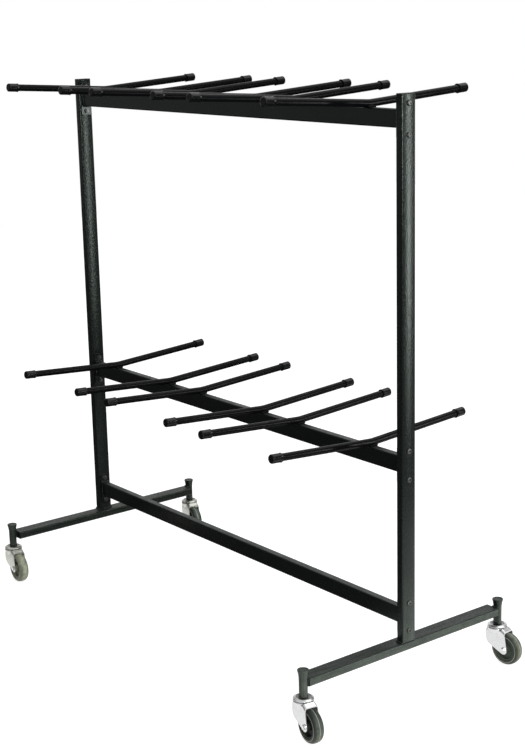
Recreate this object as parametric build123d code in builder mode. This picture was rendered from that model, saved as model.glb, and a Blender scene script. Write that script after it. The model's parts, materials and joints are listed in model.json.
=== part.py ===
from build123d import *
from math import cos, radians, sin
import os

os.makedirs("parts", exist_ok=True)

# Chair trolley: two end posts on wide feet, three long beams, and two tiers of raked hanger bars.
# +X runs along the trolley towards its front end, +Y across it, +Z up.
# The origin is on the floor, midway between the posts. All sizes are in millimetres.

# Rectangular tube
tube_wall = 2.0
tube_corner = 4.0

# End posts
frame_length = 1667.0
frame_height = 1762.0
upright_depth = 25.4
upright_width = 50.8

# Plugs in the tops of the posts
plug_rim = 3.0
plug_depth = 18.0
plug_clearance = 0.15
plug_edge = 1.2

# Feet
foot_width = 50.8
foot_height = 25.4
foot_top = 178.5
foot_setback = 12.0

# Caster sockets
socket_inset = 15.5
socket_spread_y = 782.0
socket_diameter = 25.4
socket_rise = 25.5
flare_diameter = 33.6
flare_height = 25.0
socket_rim = 2.5
socket_dish = 1.5
socket_crown = 6.0

# Beams
beam_height = 50.8
beam_width = 25.4
top_beam_drop = 68.5
middle_beam_level = 718.0
stretcher_rise = 78.5

# Bolted joints between beams and posts
end_plate_thickness = 5.0
end_plate_width = 38.0
end_plate_height = 112.0
end_plate_corner = 8.0
bolt_pitch = 85.0
bolt_diameter = 8.0
bolt_clearance = 0.3
bolt_head_diameter = 16.0
bolt_head_height = 4.6
bolt_head_round = 3.4
hex_key_size = 5.0
hex_key_depth = 2.6
bolt_tail = 3.0
thread_clearance = 0.05
nut_size = 13.0
nut_height = 6.5
nut_flange_diameter = 17.5
nut_flange_height = 1.8

# Hanger bars
hanger_diameter = 22.2
hanger_wall = 1.65
hanger_rake = 3.8
hanger_bend_radius = 160.0
hanger_reach = 373.0
bay_width = 331.0
hanger_margin = 157.0
weld_foot = 11.8
weld_height = 5.6

# Hanger end caps
cap_wall = 2.4
cap_grip = 31.0
cap_end = 4.0
cap_round = 3.5
cap_lip = 0.8
cap_lip_taper = 4.8

# Casters
trail = 38.0
wheel_diameter = 101.6
crown_clearance = 13.9
swivel_height = 8.0
caster_angles = {"front_right": -9.0, "front_left": 6.5, "rear_right": -4.5, "rear_left": -13.0}

# Caster stem and raceway cap
stem_diameter = 11.1
stem_grip = 68.0
stem_point = 1.5
stem_clearance = 0.1
kingpin_diameter = 10.0
kingpin_clearance = 0.05
flange_diameter = 20.0
rivet_diameter = 18.0
rivet_height = 3.0
raceway_diameter = 61.0
raceway_top_diameter = 49.0
raceway_height = 6.0
raceway_lip = 2.2
raceway_wall = 2.2
race_ring_diameter = 41.0
race_ring_width = 6.0
race_ring_height = 5.2
race_ring_round = 1.5
swivel_gap = 0.5

# Caster fork
crown_diameter = 61.0
crown_thickness = 3.5
crown_round = 3.0
bell_height = 35.5
bell_swell = 12.5
bell_draw = 16.0
fork_wall = 2.5
fork_shoulder = 8.0
fork_front = 42.0
fork_nose_drop = 7.0
fork_back = 27.0
fork_back_slope = 3.0
fork_knee_rise = 13.2
fork_knee_radius = 24.0
leg_end_radius = 14.0

# Axle
axle_diameter = 8.0
axle_clearance = 0.2
axle_head_size = 13.0
axle_head_height = 5.3
axle_nut_height = 6.5
axle_tail = 2.0
sleeve_diameter = 12.0

# Wheel
hub_length = 37.0
hub_diameter = 26.0
hub_side_gap = 0.8
bearing_clearance = 0.05
web_thickness = 9.0
web_round = 2.0
rim_diameter = 72.0
rim_width = 27.0
rim_thickness = 5.0
tyre_width = 33.0
tread_width = 21.5
tread_drop = 1.3
tyre_shoulder_radius = 14.0
sidewall_height = 7.0
tyre_round = 2.5

# Places worked out from the sizes above
ends = {"front": 1, "rear": -1}
post_face = frame_length / 2
upright_x = post_face - upright_depth / 2
upright_top = frame_height - plug_rim
plate_outer = post_face - upright_depth
plate_inner = plate_outer - end_plate_thickness
foot_x = post_face - foot_width / 2
foot_level = foot_top - foot_height / 2
foot_length = socket_spread_y - 2 * foot_setback
beam_levels = {
    "top_beam": frame_height - top_beam_drop,
    "middle_beam": middle_beam_level,
    "bottom_stretcher": foot_top + stretcher_rise,
}
beam_places = list(beam_levels.values())
bolt_levels = [z + half * bolt_pitch / 2 for z in beam_places for half in (-1, 1)]
bolt_hole_radius = bolt_diameter / 2 + bolt_clearance
hanger_radius = hanger_diameter / 2
inner_hanger = bay_width / 2
outer_hanger = post_face - hanger_margin
half_places = [inner_hanger, outer_hanger - bay_width, outer_hanger]
hanger_places = sorted(side * x for x in half_places for side in (-1, 1))
hanger_tiers = {"upper": "top_beam", "lower": "middle_beam"}
socket_x = post_face - socket_inset
socket_y = socket_spread_y / 2
corners = {
    "front_right": (socket_x, -socket_y),
    "front_left": (socket_x, socket_y),
    "rear_right": (-socket_x, -socket_y),
    "rear_left": (-socket_x, socket_y),
}
axle_level = wheel_diameter / 2
fork_top = wheel_diameter + crown_clearance
crown_radius = crown_diameter / 2
crown_underside = fork_top - crown_thickness
nose_level = fork_top - fork_nose_drop
bell_foot = fork_top - bell_height
leg_inner = hub_length / 2 + hub_side_gap
leg_outer = leg_inner + fork_wall
socket_bottom = fork_top + swivel_height
socket_top = foot_top + socket_rise
race_cap_top = socket_bottom
race_cap_inside = race_cap_top - raceway_wall


def write(piece, name):
    """Label a finished piece and write it under its own name."""
    piece.part.label = name
    export_step(piece.part, f"parts/{name}.step")


def tube_section(across, along):
    """Draw the section of a rectangular tube with rounded corners."""
    RectangleRounded(across, along, tube_corner)
    inner_corner = tube_corner - tube_wall
    RectangleRounded(across - 2 * tube_wall, along - 2 * tube_wall, inner_corner, mode=Mode.SUBTRACT)


def cross_plane(x, z):
    """A plane square to +Y, with its own x along +X and its own y along +Z."""
    return Plane(origin=(x, 0, z), x_dir=(1, 0, 0), z_dir=(0, -1, 0))


def end_plane(x, facing):
    """A plane square to the trolley's length that faces one end, with its own y along +Z."""
    return Plane(origin=(x, 0, 0), x_dir=(0, facing, 0), z_dir=(facing, 0, 0))


def turning_plane(corner):
    """An upright plane through a caster's swivel axis, with its own x along the trail and y along +Z."""
    x, y = corners[corner]
    angle = radians(caster_angles[corner])
    return Plane(origin=(x, y, 0), x_dir=(cos(angle), sin(angle), 0), z_dir=(sin(angle), -cos(angle), 0))


# End posts: upright tubes with two bolt holes through both walls at each beam
for end, side in ends.items():
    with BuildPart() as upright:
        with BuildSketch(Plane((side * upright_x, 0, foot_top))):
            tube_section(upright_depth, upright_width)
        extrude(amount=upright_top - foot_top)
        with BuildSketch(end_plane(side * plate_outer, side)):
            with Locations(*[(0, z) for z in bolt_levels]):
                Circle(bolt_hole_radius)
        extrude(amount=upright_depth, mode=Mode.SUBTRACT)
    write(upright, f"upright_{end}")

# Plugs that close the tops of the posts
with BuildPart() as upright_plugs:
    for side in ends.values():
        with BuildSketch(Plane((side * upright_x, 0, upright_top))):
            RectangleRounded(upright_depth, upright_width, tube_corner)
        extrude(amount=plug_rim)
        with BuildSketch(Plane((side * upright_x, 0, upright_top))):
            inset = 2 * (tube_wall + plug_clearance)
            RectangleRounded(upright_depth - inset, upright_width - inset, tube_corner - tube_wall)
        extrude(amount=-plug_depth)
    fillet(upright_plugs.faces().sort_by(Axis.Z)[-2:].edges(), plug_edge)
write(upright_plugs, "upright_plugs")

# Feet: tubes lying across under the posts, their ends coped to the round caster sockets
for end, side in ends.items():
    with BuildPart() as foot:
        with BuildSketch(cross_plane(side * foot_x, foot_level)):
            tube_section(foot_width, foot_height)
        extrude(amount=foot_length / 2, both=True)
        with Locations(*[(side * socket_x, y, foot_level) for y in (-socket_y, socket_y)]):
            Cylinder(socket_diameter / 2, foot_height, mode=Mode.SUBTRACT)
    write(foot, f"foot_{end}")

# Caster sockets: turned tubes that flare towards a closed, dished top
for corner, (x, y) in corners.items():
    with BuildPart() as socket:
        with BuildSketch(Plane((x, y, 0), x_dir=(1, 0, 0), z_dir=(0, -1, 0))):
            with BuildLine():
                bore = stem_diameter / 2 + stem_clearance
                Polyline(
                    (bore, socket_bottom),
                    (socket_diameter / 2, socket_bottom),
                    (socket_diameter / 2, socket_top - flare_height),
                    (flare_diameter / 2, socket_top),
                    (flare_diameter / 2 - socket_rim, socket_top),
                    (flare_diameter / 2 - socket_rim - socket_dish, socket_top - socket_dish),
                    (0, socket_top - socket_dish),
                    (0, socket_top - socket_crown),
                    (bore, socket_top - socket_crown),
                    close=True,
                )
            make_face()
        revolve(axis=Axis((x, y, 0), (0, 0, 1)))
    write(socket, f"socket_{corner}")

# Beams: long tubes that end at their end plates
for name, level in beam_levels.items():
    with BuildPart() as beam:
        with BuildSketch(Plane((0, 0, level), x_dir=(0, 1, 0), z_dir=(1, 0, 0))):
            tube_section(beam_width, beam_height)
        extrude(amount=plate_inner, both=True)
    write(beam, name)

# End plates, taller than the beams, that carry the bolt holes
with BuildPart() as beam_end_plates:
    for side in ends.values():
        with BuildSketch(end_plane(side * plate_inner, side)):
            with Locations(*[(0, z) for z in beam_places]):
                RectangleRounded(end_plate_width, end_plate_height, end_plate_corner)
            with Locations(*[(0, z) for z in bolt_levels]):
                Circle(bolt_hole_radius, mode=Mode.SUBTRACT)
        extrude(amount=end_plate_thickness)
write(beam_end_plates, "beam_end_plates")

# Button-head bolts through the posts, heads outside
bolt_length = upright_depth + end_plate_thickness + nut_height + bolt_tail
with BuildPart() as frame_bolts:
    for side in ends.values():
        head_plane = end_plane(side * post_face, side)
        with BuildSketch(head_plane):
            with Locations(*[(0, z) for z in bolt_levels]):
                Circle(bolt_head_diameter / 2)
        extrude(amount=bolt_head_height)
    outer_rims = frame_bolts.edges().filter_by(GeomType.CIRCLE).group_by(Axis.X)
    fillet(outer_rims[0] + outer_rims[-1], bolt_head_round)
    for side in ends.values():
        with BuildSketch(end_plane(side * (post_face + bolt_head_height), side)):
            with Locations(*[(0, z) for z in bolt_levels]):
                RegularPolygon(hex_key_size / 2, 6, major_radius=False)
        extrude(amount=-hex_key_depth, mode=Mode.SUBTRACT)
        with BuildSketch(end_plane(side * post_face, side)):
            with Locations(*[(0, z) for z in bolt_levels]):
                Circle(bolt_diameter / 2)
        extrude(amount=-bolt_length)
write(frame_bolts, "frame_bolts")

# Flange nuts on the inner side of the end plates
with BuildPart() as frame_nuts:
    for side in ends.values():
        nut_plane = end_plane(side * plate_inner, side)
        with BuildSketch(nut_plane):
            with Locations(*[(0, z) for z in bolt_levels]):
                Circle(nut_flange_diameter / 2)
                Circle(bolt_diameter / 2 + thread_clearance, mode=Mode.SUBTRACT)
        extrude(amount=-nut_flange_height)
        with BuildSketch(nut_plane):
            with Locations(*[(0, z) for z in bolt_levels]):
                RegularPolygon(nut_size / 2, 6, major_radius=False)
                Circle(bolt_diameter / 2 + thread_clearance, mode=Mode.SUBTRACT)
        extrude(amount=-nut_height)
write(frame_nuts, "frame_nuts")

# Hanger bars: round tubes bent into a shallow V, welded across the beams
rake = radians(hanger_rake)
bend_lift = hanger_bend_radius * (1 / cos(rake) - 1)
for tier, carrier in hanger_tiers.items():
    seat = beam_levels[carrier] + beam_height / 2
    vertex = seat + hanger_radius - bend_lift
    tip = vertex + hanger_reach * sin(rake) / cos(rake)
    for number, x in enumerate(hanger_places, start=1):
        with BuildPart() as hanger:
            with BuildLine(Plane((x, 0, 0), x_dir=(0, 1, 0), z_dir=(1, 0, 0))) as route:
                FilletPolyline((-hanger_reach, tip), (0, vertex), (hanger_reach, tip), radius=hanger_bend_radius)
            start = Plane(origin=route.line @ 0, z_dir=route.line % 0)
            with BuildSketch(start):
                Circle(hanger_radius)
            sweep(path=route.line)
            with BuildSketch(cross_plane(x, seat)):
                with BuildLine():
                    Polyline(
                        (-weld_foot, 0),
                        (weld_foot, 0),
                        (hanger_radius - hanger_wall, weld_height),
                        (hanger_wall - hanger_radius, weld_height),
                        close=True,
                    )
                make_face()
            extrude(amount=beam_width / 2 - tube_corner, both=True)
            with BuildSketch(start):
                Circle(hanger_radius - hanger_wall)
            sweep(path=route.line, mode=Mode.SUBTRACT)
        write(hanger, f"{tier}_hanger_{number}")

# Soft end caps pushed over the hanger bars, with a rounded end and a lip at the mouth
cap_radius = hanger_radius + cap_wall
with BuildPart() as hanger_end_caps:
    for carrier in hanger_tiers.values():
        vertex = beam_levels[carrier] + beam_height / 2 + hanger_radius - bend_lift
        tip = vertex + hanger_reach * sin(rake) / cos(rake)
        for x in hanger_places:
            for side in (-1, 1):
                arm = Vector(0, side * cos(rake), sin(rake))
                mouth = Plane(origin=(x, side * hanger_reach, tip), x_dir=arm, z_dir=arm.cross(Vector(1, 0, 0)))
                with BuildSketch(mouth):
                    with BuildLine():
                        Polyline(
                            (cap_end, cap_radius - cap_round),
                            (cap_end, 0),
                            (0, 0),
                            (0, hanger_radius),
                            (-cap_grip, hanger_radius),
                            (-cap_grip, cap_radius + cap_lip),
                            (cap_lip_taper - cap_grip, cap_radius),
                            (cap_end - cap_round, cap_radius),
                        )
                        RadiusArc((cap_end - cap_round, cap_radius), (cap_end, cap_radius - cap_round), cap_round)
                    make_face()
                revolve(axis=Axis(mouth.origin, arm))
write(hanger_end_caps, "hanger_end_caps")

# Swivel casters
for corner, (x, y) in corners.items():
    swivel = Axis((x, y, 0), (0, 0, 1))
    side_view = turning_plane(corner)
    trail_way = side_view.x_dir
    axle_way = -side_view.z_dir
    hub_centre = side_view.origin + trail_way * trail + Vector(0, 0, axle_level)
    axle = Axis(hub_centre, axle_way)
    wheel_view = Plane(origin=hub_centre, x_dir=axle_way, z_dir=axle_way.cross(Vector(0, 0, 1)))

    # Stem: gripped in the socket above, its lower end riveted over under the fork's crown
    stem_radius = stem_diameter / 2
    with BuildPart() as stem:
        with BuildSketch(side_view):
            with BuildLine():
                Polyline(
                    (0, crown_underside - swivel_gap - rivet_height),
                    (rivet_diameter / 2, crown_underside - swivel_gap - rivet_height),
                    (rivet_diameter / 2, crown_underside - swivel_gap),
                    (kingpin_diameter / 2, crown_underside - swivel_gap),
                    (kingpin_diameter / 2, fork_top + swivel_gap),
                    (flange_diameter / 2, fork_top + swivel_gap),
                    (flange_diameter / 2, race_cap_inside),
                    (stem_radius, race_cap_inside),
                    (stem_radius, socket_bottom + stem_grip - stem_point),
                    (stem_radius - stem_point, socket_bottom + stem_grip),
                    (0, socket_bottom + stem_grip),
                    close=True,
                )
            make_face()
        revolve(axis=swivel)
    write(stem, f"caster_stem_{corner}")

    # Raceway cap: a pressed dish on the stem that covers the ball race
    rim_level = race_cap_top - raceway_height
    with BuildPart() as raceway_cap:
        with BuildSketch(side_view):
            with BuildLine():
                Polyline(
                    (stem_radius, race_cap_top),
                    (raceway_top_diameter / 2, race_cap_top),
                    (raceway_diameter / 2, rim_level + raceway_lip),
                    (raceway_diameter / 2, rim_level),
                    (raceway_diameter / 2 - raceway_wall, rim_level),
                    (raceway_diameter / 2 - raceway_wall, rim_level + raceway_lip - raceway_wall / 2),
                    (raceway_top_diameter / 2 - raceway_wall / 2, race_cap_inside),
                    (stem_radius, race_cap_inside),
                    close=True,
                )
            make_face()
        revolve(axis=swivel)
    write(raceway_cap, f"raceway_cap_{corner}")

    # Ball race ring, resting on the fork's crown under the raceway cap
    with BuildPart() as race_ring:
        with BuildSketch(side_view):
            with Locations((race_ring_diameter / 2, fork_top + race_ring_height / 2)):
                RectangleRounded(race_ring_width, race_ring_height, race_ring_round)
        revolve(axis=swivel)
    write(race_ring, f"ball_race_{corner}")

    # Wheel arch: the space inside the fork, its rounded ceiling sloping down to the nose
    across = Axis(side_view.origin, axle_way)
    with BuildPart() as wheel_arch:
        with BuildSketch(side_view):
            with BuildLine():
                Polyline(
                    (-crown_diameter, 0),
                    (-crown_diameter, crown_underside),
                    (crown_radius, crown_underside),
                    (fork_front, nose_level - crown_thickness),
                    (crown_diameter, nose_level - crown_thickness),
                    (crown_diameter, 0),
                    close=True,
                )
            make_face()
        extrude(amount=leg_inner, both=True)
        ceiling = wheel_arch.faces().filter_by(across).edges()
        fillet(ceiling.filter_by(lambda edge: edge.center().Z > wheel_diameter), fork_shoulder - fork_wall)

    # Fork: one pressing whose round crown swells like a bell into two legs that taper to the axle
    with BuildPart() as fork:
        with BuildSketch(side_view) as leg_outline:
            with Locations((trail, axle_level)):
                Circle(leg_end_radius)
            with BuildLine():
                Polyline(
                    (-fork_back, axle_level + fork_knee_rise),
                    (-fork_back, nose_level),
                    (fork_back_slope - fork_back, fork_top),
                    (crown_radius, fork_top),
                    (fork_front, nose_level),
                )
            make_hull()
            fillet(leg_outline.vertices().sort_by(Axis.X)[0:2].sort_by(Axis.Y)[0], fork_knee_radius)
        extrude(amount=leg_outer, both=True)
        shoulders = fork.faces().filter_by(across).edges()
        fillet(shoulders.filter_by(lambda edge: edge.center().Z > nose_level), fork_shoulder)
        with BuildSketch(side_view):
            with BuildLine():
                crown_edge = fork_top - crown_round
                crown_rim = (crown_radius - crown_round, fork_top)
                Polyline((leg_inner, bell_foot), (0, bell_foot), (0, fork_top), crown_rim)
                RadiusArc(crown_rim, (crown_radius, crown_edge), crown_round)
                Bezier(
                    (crown_radius, crown_edge),
                    (crown_radius, crown_edge - bell_swell),
                    (leg_inner, bell_foot + bell_draw),
                    (leg_inner, bell_foot),
                )
            make_face()
        revolve(axis=swivel)
        add(wheel_arch.part, mode=Mode.SUBTRACT)
        with BuildSketch(side_view):
            with Locations((trail, axle_level)):
                Circle(axle_diameter / 2 + axle_clearance)
        extrude(amount=leg_outer, both=True, mode=Mode.SUBTRACT)
        with BuildSketch(Plane((x, y, crown_underside))):
            Circle(kingpin_diameter / 2 + kingpin_clearance)
        extrude(amount=crown_thickness, mode=Mode.SUBTRACT)
    write(fork, f"fork_{corner}")

    # Axle bolt across the fork's legs, with its nut
    with BuildPart() as axle_bolt:
        with BuildSketch(wheel_view):
            with BuildLine():
                Polyline(
                    (-leg_outer, 0),
                    (-leg_outer, axle_diameter / 2),
                    (leg_outer + axle_nut_height + axle_tail, axle_diameter / 2),
                    (leg_outer + axle_nut_height + axle_tail, 0),
                    close=True,
                )
            make_face()
        revolve(axis=axle)
        with BuildSketch(Plane(origin=hub_centre - axle_way * leg_outer, z_dir=-axle_way)):
            RegularPolygon(axle_head_size / 2, 6, major_radius=False)
        extrude(amount=axle_head_height)
        with BuildSketch(Plane(origin=hub_centre + axle_way * leg_outer, z_dir=axle_way)):
            RegularPolygon(axle_head_size / 2, 6, major_radius=False)
            Circle(axle_diameter / 2 + thread_clearance, mode=Mode.SUBTRACT)
        extrude(amount=axle_nut_height)
    write(axle_bolt, f"axle_bolt_{corner}")

    # Sleeve between the legs that the hub turns on
    with BuildPart() as axle_sleeve:
        with BuildSketch(Plane(origin=hub_centre, z_dir=axle_way)):
            Circle(sleeve_diameter / 2)
            Circle(axle_diameter / 2, mode=Mode.SUBTRACT)
        extrude(amount=leg_inner, both=True)
    write(axle_sleeve, f"axle_sleeve_{corner}")

    # Wheel core: hub, recessed web and rim
    with BuildPart() as wheel_core:
        with BuildSketch(wheel_view):
            with BuildLine():
                bore = sleeve_diameter / 2 + bearing_clearance
                Polyline(
                    (-hub_length / 2, bore),
                    (-hub_length / 2, hub_diameter / 2),
                    (-web_thickness / 2, hub_diameter / 2 + web_round),
                    (-web_thickness / 2, rim_diameter / 2 - rim_thickness),
                    (-rim_width / 2, rim_diameter / 2 - rim_thickness),
                    (-rim_width / 2, rim_diameter / 2),
                    (rim_width / 2, rim_diameter / 2),
                    (rim_width / 2, rim_diameter / 2 - rim_thickness),
                    (web_thickness / 2, rim_diameter / 2 - rim_thickness),
                    (web_thickness / 2, hub_diameter / 2 + web_round),
                    (hub_length / 2, hub_diameter / 2),
                    (hub_length / 2, bore),
                    close=True,
                )
            make_face()
        revolve(axis=axle)
    write(wheel_core, f"wheel_core_{corner}")

    # Tyre: a crowned tread with rounded shoulders over straight sidewalls
    with BuildPart() as tyre:
        with BuildSketch(wheel_view):
            with BuildLine():
                sidewall_top = rim_diameter / 2 + sidewall_height
                tread_edge = wheel_diameter / 2 - tread_drop
                Polyline(
                    (-tyre_width / 2, sidewall_top),
                    (-tyre_width / 2, rim_diameter / 2 + tyre_round),
                    (-rim_width / 2, rim_diameter / 2),
                    (rim_width / 2, rim_diameter / 2),
                    (tyre_width / 2, rim_diameter / 2 + tyre_round),
                    (tyre_width / 2, sidewall_top),
                )
                near_edge = (-tread_width / 2, tread_edge)
                far_edge = (tread_width / 2, tread_edge)
                RadiusArc((-tyre_width / 2, sidewall_top), near_edge, tyre_shoulder_radius)
                ThreePointArc(near_edge, (0, wheel_diameter / 2), far_edge)
                RadiusArc(far_edge, (tyre_width / 2, sidewall_top), tyre_shoulder_radius)
            make_face()
        revolve(axis=axle)
    write(tyre, f"tyre_{corner}")
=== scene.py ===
# %% [markdown]
# # A two-tier chair trolley
# The trolley is a steel frame on four swivel casters: two posts on wide feet, three long beams,
# and two rows of round hanger bars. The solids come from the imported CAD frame, so this lesson adds
# what a solid does not carry: the weld beads, the soft edges of pressed steel, the moulded tyres,
# and the finish of every part.

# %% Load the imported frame
import bmesh
import bpy
import json
import numpy as np
from mathutils import Matrix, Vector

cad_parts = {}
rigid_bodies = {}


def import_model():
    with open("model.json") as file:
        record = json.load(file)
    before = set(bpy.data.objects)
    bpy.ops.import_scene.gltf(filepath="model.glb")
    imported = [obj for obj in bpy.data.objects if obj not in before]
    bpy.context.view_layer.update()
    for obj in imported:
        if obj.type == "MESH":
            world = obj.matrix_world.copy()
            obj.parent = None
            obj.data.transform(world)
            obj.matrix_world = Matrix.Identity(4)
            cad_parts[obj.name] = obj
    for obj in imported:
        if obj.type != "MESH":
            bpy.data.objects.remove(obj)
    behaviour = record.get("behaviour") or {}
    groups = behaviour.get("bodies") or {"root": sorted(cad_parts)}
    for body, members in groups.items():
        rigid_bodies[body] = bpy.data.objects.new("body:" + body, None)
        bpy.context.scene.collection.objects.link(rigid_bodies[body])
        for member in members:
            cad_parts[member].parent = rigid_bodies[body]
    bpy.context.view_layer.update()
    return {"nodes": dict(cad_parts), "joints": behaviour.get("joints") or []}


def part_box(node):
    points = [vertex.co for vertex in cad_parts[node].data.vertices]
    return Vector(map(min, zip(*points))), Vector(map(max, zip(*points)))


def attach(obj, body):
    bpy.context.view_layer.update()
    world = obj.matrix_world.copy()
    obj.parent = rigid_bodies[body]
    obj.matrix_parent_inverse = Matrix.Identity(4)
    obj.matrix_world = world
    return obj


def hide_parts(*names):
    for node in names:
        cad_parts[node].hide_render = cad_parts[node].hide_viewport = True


for leftover in list(bpy.data.objects):
    bpy.data.objects.remove(leftover)
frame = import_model()
nodes = frame["nodes"]

# %% [markdown]
# ## The camera
# The view is a long lens from the front right corner, a little above the top beam. Its place was
# solved from the corners of the posts, feet and sockets, so the numbers are measured, not framed
# by eye. The lens follows from the focal length in pixels and the long side of the picture.

# %% Camera
image_size = (525, 750)
focal_pixels = 1523.703
sensor_width = 36.0
camera_place = (3.84931, -2.87821, 2.00447)
azimuth, pitch, roll = np.radians([51.99058, 13.70019, -1.35729])
straight_up = (0.0, 0.0, 1.0)


def unit(v):
    """Vectors of length one along the last axis."""
    v = np.asarray(v, float)
    return v / np.linalg.norm(v, axis=-1, keepdims=True)


def placed(right, up, back, place):
    """Matrix of an object at place whose own x, y and z axes are right, up and back."""
    turn = np.eye(4)
    turn[:3, :] = np.column_stack([right, up, back, place])
    return Matrix(turn.tolist())


back = np.array([np.sin(azimuth) * np.cos(pitch), -np.cos(azimuth) * np.cos(pitch), np.sin(pitch)])
level = unit(np.cross(straight_up, back))
rise = np.cross(back, level)
right = np.cos(roll) * level + np.sin(roll) * rise
up = np.cos(roll) * rise - np.sin(roll) * level

camera_data = bpy.data.cameras.new("camera")
camera_data.sensor_width = sensor_width
camera_data.lens = focal_pixels * sensor_width / max(image_size)
camera_data.clip_end = 100.0
camera = bpy.data.objects.new("camera", camera_data)
bpy.context.scene.collection.objects.link(camera)
camera.matrix_world = placed(right, up, back, camera_place)
bpy.context.scene.camera = camera
print("camera lens", round(camera_data.lens, 2), "mm")

# %% [markdown]
# ## Small tools for shader nodes
# A material is a small graph. Writing every node by hand hides the idea, so these helpers add one
# node at a time, set it, and link whatever is already a socket.


# %% Node helpers
def node(tree, kind, inputs=None, **settings):
    """Add a shader node, set its own settings, and fill its inputs with numbers or with links."""
    made = tree.nodes.new("ShaderNode" + kind)
    for name, value in settings.items():
        setattr(made, name, value)
    for key, value in (inputs or {}).items():
        if isinstance(value, bpy.types.NodeSocket):
            tree.links.new(value, made.inputs[key])
        else:
            made.inputs[key].default_value = value
    return made


def calc(tree, operation, first, second=0.0):
    """One number worked out from two others."""
    return node(tree, "Math", {0: first, 1: second}, operation=operation).outputs[0]


def times(tree, first, second):
    """The product of two numbers; a mask times a share weakens the mask."""
    return calc(tree, "MULTIPLY", first, second)


def fade(tree, value, low, high, out_low=0.0, out_high=1.0):
    """A number eased from out_low to out_high while value runs from low to high."""
    limits = {"Value": value, "From Min": low, "From Max": high, "To Min": out_low, "To Max": out_high}
    return node(tree, "MapRange", limits, interpolation_type="SMOOTHSTEP").outputs["Result"]


def along(tree, vector, axis):
    """How far a vector reaches along an axis: their dot product."""
    return node(tree, "VectorMath", {0: vector, 1: axis}, operation="DOT_PRODUCT").outputs["Value"]


def split(tree, vector):
    """The X, Y and Z of a vector as three numbers."""
    return node(tree, "SeparateXYZ", {0: vector}).outputs


print("node helpers ready")

# %% [markdown]
# ## Studio
# The picture is a catalogue picture on white. The camera sees white everywhere. Reflections see the
# white paper that hangs behind the object, a pale ceiling, and the dim room on the camera's side,
# which is what keeps black paint black. Plain fill light comes from all round, stronger from the
# front end and the far side, so the long side that faces left lies in soft shade. The pairs below
# are dot products with a direction: where a light starts, and where it is full.

# %% World
bpy.context.scene.view_settings.view_transform = "Standard"
plain_white = (1.0, 1.0, 1.0, 1.0)
room_light, ceiling_light = 0.2, 0.6
paper_edge, ceiling_edge, fill_edge = (0.48, 0.82), (0.5, 0.85), (-0.8, 0.9)
bright_side = (0.76, 0.6, 0.25)
shade_fill, bright_fill = 0.25, 0.85

world = bpy.data.worlds.new("white_studio")
bpy.context.scene.world = world
world.use_nodes = True
tree = world.node_tree
tree.nodes.clear()
path = node(tree, "LightPath").outputs
ahead = node(tree, "TexCoord").outputs["Generated"]
paper = fade(tree, along(tree, ahead, tuple(-back)), *paper_edge, room_light, 1.0)
ceiling = fade(tree, along(tree, ahead, straight_up), *ceiling_edge, room_light, ceiling_light)
paper = calc(tree, "MAXIMUM", paper, calc(tree, "MAXIMUM", ceiling, path["Is Camera Ray"]))
shown = calc(tree, "MAXIMUM", path["Is Camera Ray"], path["Is Glossy Ray"])
shown = calc(tree, "MAXIMUM", shown, path["Is Transmission Ray"])
shade = fade(tree, along(tree, ahead, bright_side), *fill_edge, shade_fill, bright_fill)
fill = node(tree, "Background", {"Color": plain_white, "Strength": shade}).outputs[0]
white = node(tree, "Background", {"Color": plain_white, "Strength": paper}).outputs[0]
both = node(tree, "MixShader", {0: shown, 1: fill, 2: white}).outputs[0]
node(tree, "OutputWorld", {"Surface": both})
print("world ready")

# %% [markdown]
# ## Floor
# The floor glows for the camera, so that it is as white as the paper and still keeps the soft shadow of the
# object. Polished parts mirror it bright only close by and in front of the trolley. Under and behind the
# trolley the floor they mirror is kept dim, which is a painted shadow of the trolley, and further off they
# mirror the dim floor of the room. The pairs are distances in metres.

# %% Floor
floor_half = 9.0
floor_light = 0.05
floor_grey = (0.42, 0.42, 0.42, 1.0)
camera_glow = 0.86
bright_near, shadow_edge_x, paper_reach = (0.25, 0.42), (0.3, 0.6), (1.3, 2.2)

floor_mesh = bpy.data.meshes.new("studio_floor")
floor_corners = np.array([(-1, -1, 0), (1, -1, 0), (1, 1, 0), (-1, 1, 0)]) * floor_half
floor_mesh.from_pydata(floor_corners.tolist(), [], [(0, 1, 2, 3)])
floor = bpy.data.objects.new("studio_floor", floor_mesh)
bpy.context.scene.collection.objects.link(floor)

floor_paint = bpy.data.materials.new("pale_floor")
floor_paint.use_nodes = True
tree = floor_paint.node_tree
tree.nodes.clear()
path = node(tree, "LightPath").outputs
forward = split(tree, node(tree, "TexCoord").outputs["Object"])["X"]
close = fade(tree, path["Ray Length"], *bright_near, 1.0, floor_light)
front = fade(tree, path["Ray Length"], *paper_reach, 1.0, floor_light)
# painted shadow: the floor that polished parts mirror stays dim under and behind the trolley
front = times(tree, fade(tree, forward, *shadow_edge_x), front)
bright = calc(tree, "MAXIMUM", close, front)
glow = node(tree, "Emission", {"Color": plain_white, "Strength": bright}).outputs[0]
lit = node(tree, "BsdfDiffuse", {"Color": floor_grey}).outputs[0]
shine = times(tree, path["Is Camera Ray"], camera_glow)
shine = node(tree, "Emission", {"Color": plain_white, "Strength": shine}).outputs[0]
seen = node(tree, "AddShader", {0: lit, 1: shine}).outputs[0]
mirrored = calc(tree, "MAXIMUM", path["Is Glossy Ray"], path["Is Transmission Ray"])
both = node(tree, "MixShader", {0: mirrored, 1: seen, 2: glow}).outputs[0]
node(tree, "OutputMaterial", {"Surface": both})
floor_mesh.materials.append(floor_paint)
print("floor ready")

# %% [markdown]
# ## Soft boxes
# A tall narrow soft box to the right of the camera stands where the flat front of the post mirrors
# it, and turns the middle of that face grey; a short weak one below it lets that strip die away. One
# beside the camera draws the thin bright line down the rounded corner near the top of the post and
# the glints on caps and tyres. A broad one, high in front, is the main light, and one overhead on
# the far side lifts the tops of the tubes and shows white in the plated steel.


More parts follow.
